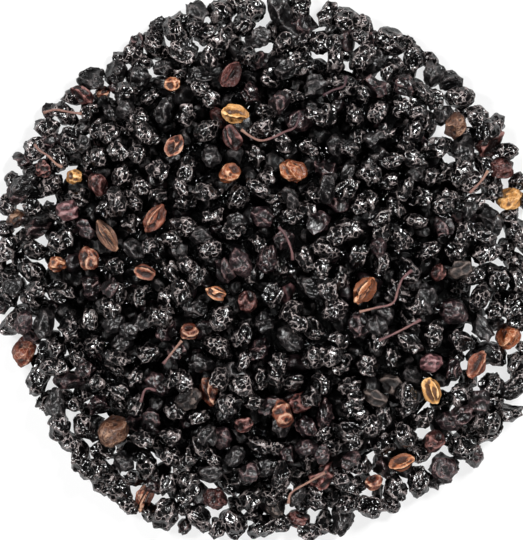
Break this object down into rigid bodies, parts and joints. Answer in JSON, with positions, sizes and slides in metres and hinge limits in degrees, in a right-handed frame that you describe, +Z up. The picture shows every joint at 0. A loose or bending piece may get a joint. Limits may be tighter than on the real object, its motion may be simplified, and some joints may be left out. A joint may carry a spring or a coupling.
{
  "type": "heap of dried elderberries",
  "caption": "Low round heap of wrinkled dried elderberries, mostly glossy black, with a few gold, orange and red-brown ones and thin bits of stalk on top.",
  "frame": {"origin": "on the surface that the heap lies on, under the middle of the heap", "axes": "+Z up; seen from straight above with +Y at the top, as in the picture, +X is to the right"},
  "size_m": [0.0946, 0.0956, 0.014],
  "materials": {
    "black_skin": "satin",
    "gold_skin": "satin",
    "orange_skin": "satin",
    "russet_skin": "satin",
    "brown_skin": "matte",
    "garnet_skin": "satin",
    "dry_stalk": "matte"
  },
  "bodies": {
    "root": {"black_berries": "black_skin", "gold_berry_1": "gold_skin", "gold_berry_2": "gold_skin", "gold_berry_3": "gold_skin", "gold_berry_4": "gold_skin", "orange_berry_1": "orange_skin", "orange_berry_2": "orange_skin", "orange_berry_3": "orange_skin", "orange_berry_4": "orange_skin", "orange_berry_5": "orange_skin", "orange_berry_6": "orange_skin", "orange_berry_7": "orange_skin", "orange_berry_8": "orange_skin", "russet_berry_1": "russet_skin", "russet_berry_2": "russet_skin", "russet_berry_3": "russet_skin", "russet_berry_4": "russet_skin", "russet_berry_5": "russet_skin", "russet_berry_6": "russet_skin", "russet_berry_7": "russet_skin", "russet_berry_8": "russet_skin", "russet_berry_9": "russet_skin", "russet_berry_10": "russet_skin", "brown_berry_1": "brown_skin", "brown_berry_2": "brown_skin", "brown_berry_3": "brown_skin", "brown_berry_4": "brown_skin", "garnet_berry_1": "garnet_skin", "garnet_berry_2": "garnet_skin", "garnet_berry_3": "garnet_skin", "garnet_berry_4": "garnet_skin", "garnet_berry_5": "garnet_skin", "garnet_berry_6": "garnet_skin", "garnet_berry_7": "garnet_skin", "garnet_berry_8": "garnet_skin", "garnet_berry_9": "garnet_skin", "garnet_berry_10": "garnet_skin", "stalk_1": "dry_stalk", "stalk_2": "dry_stalk", "stalk_3": "dry_stalk", "stalk_4": "dry_stalk", "stalk_5": "dry_stalk", "stalk_6": "dry_stalk", "stalk_7": "dry_stalk", "stalk_8": "dry_stalk", "stalk_9": "dry_stalk", "stalk_10": "dry_stalk", "stalk_11": "dry_stalk"}
  },
  "joints": []
}
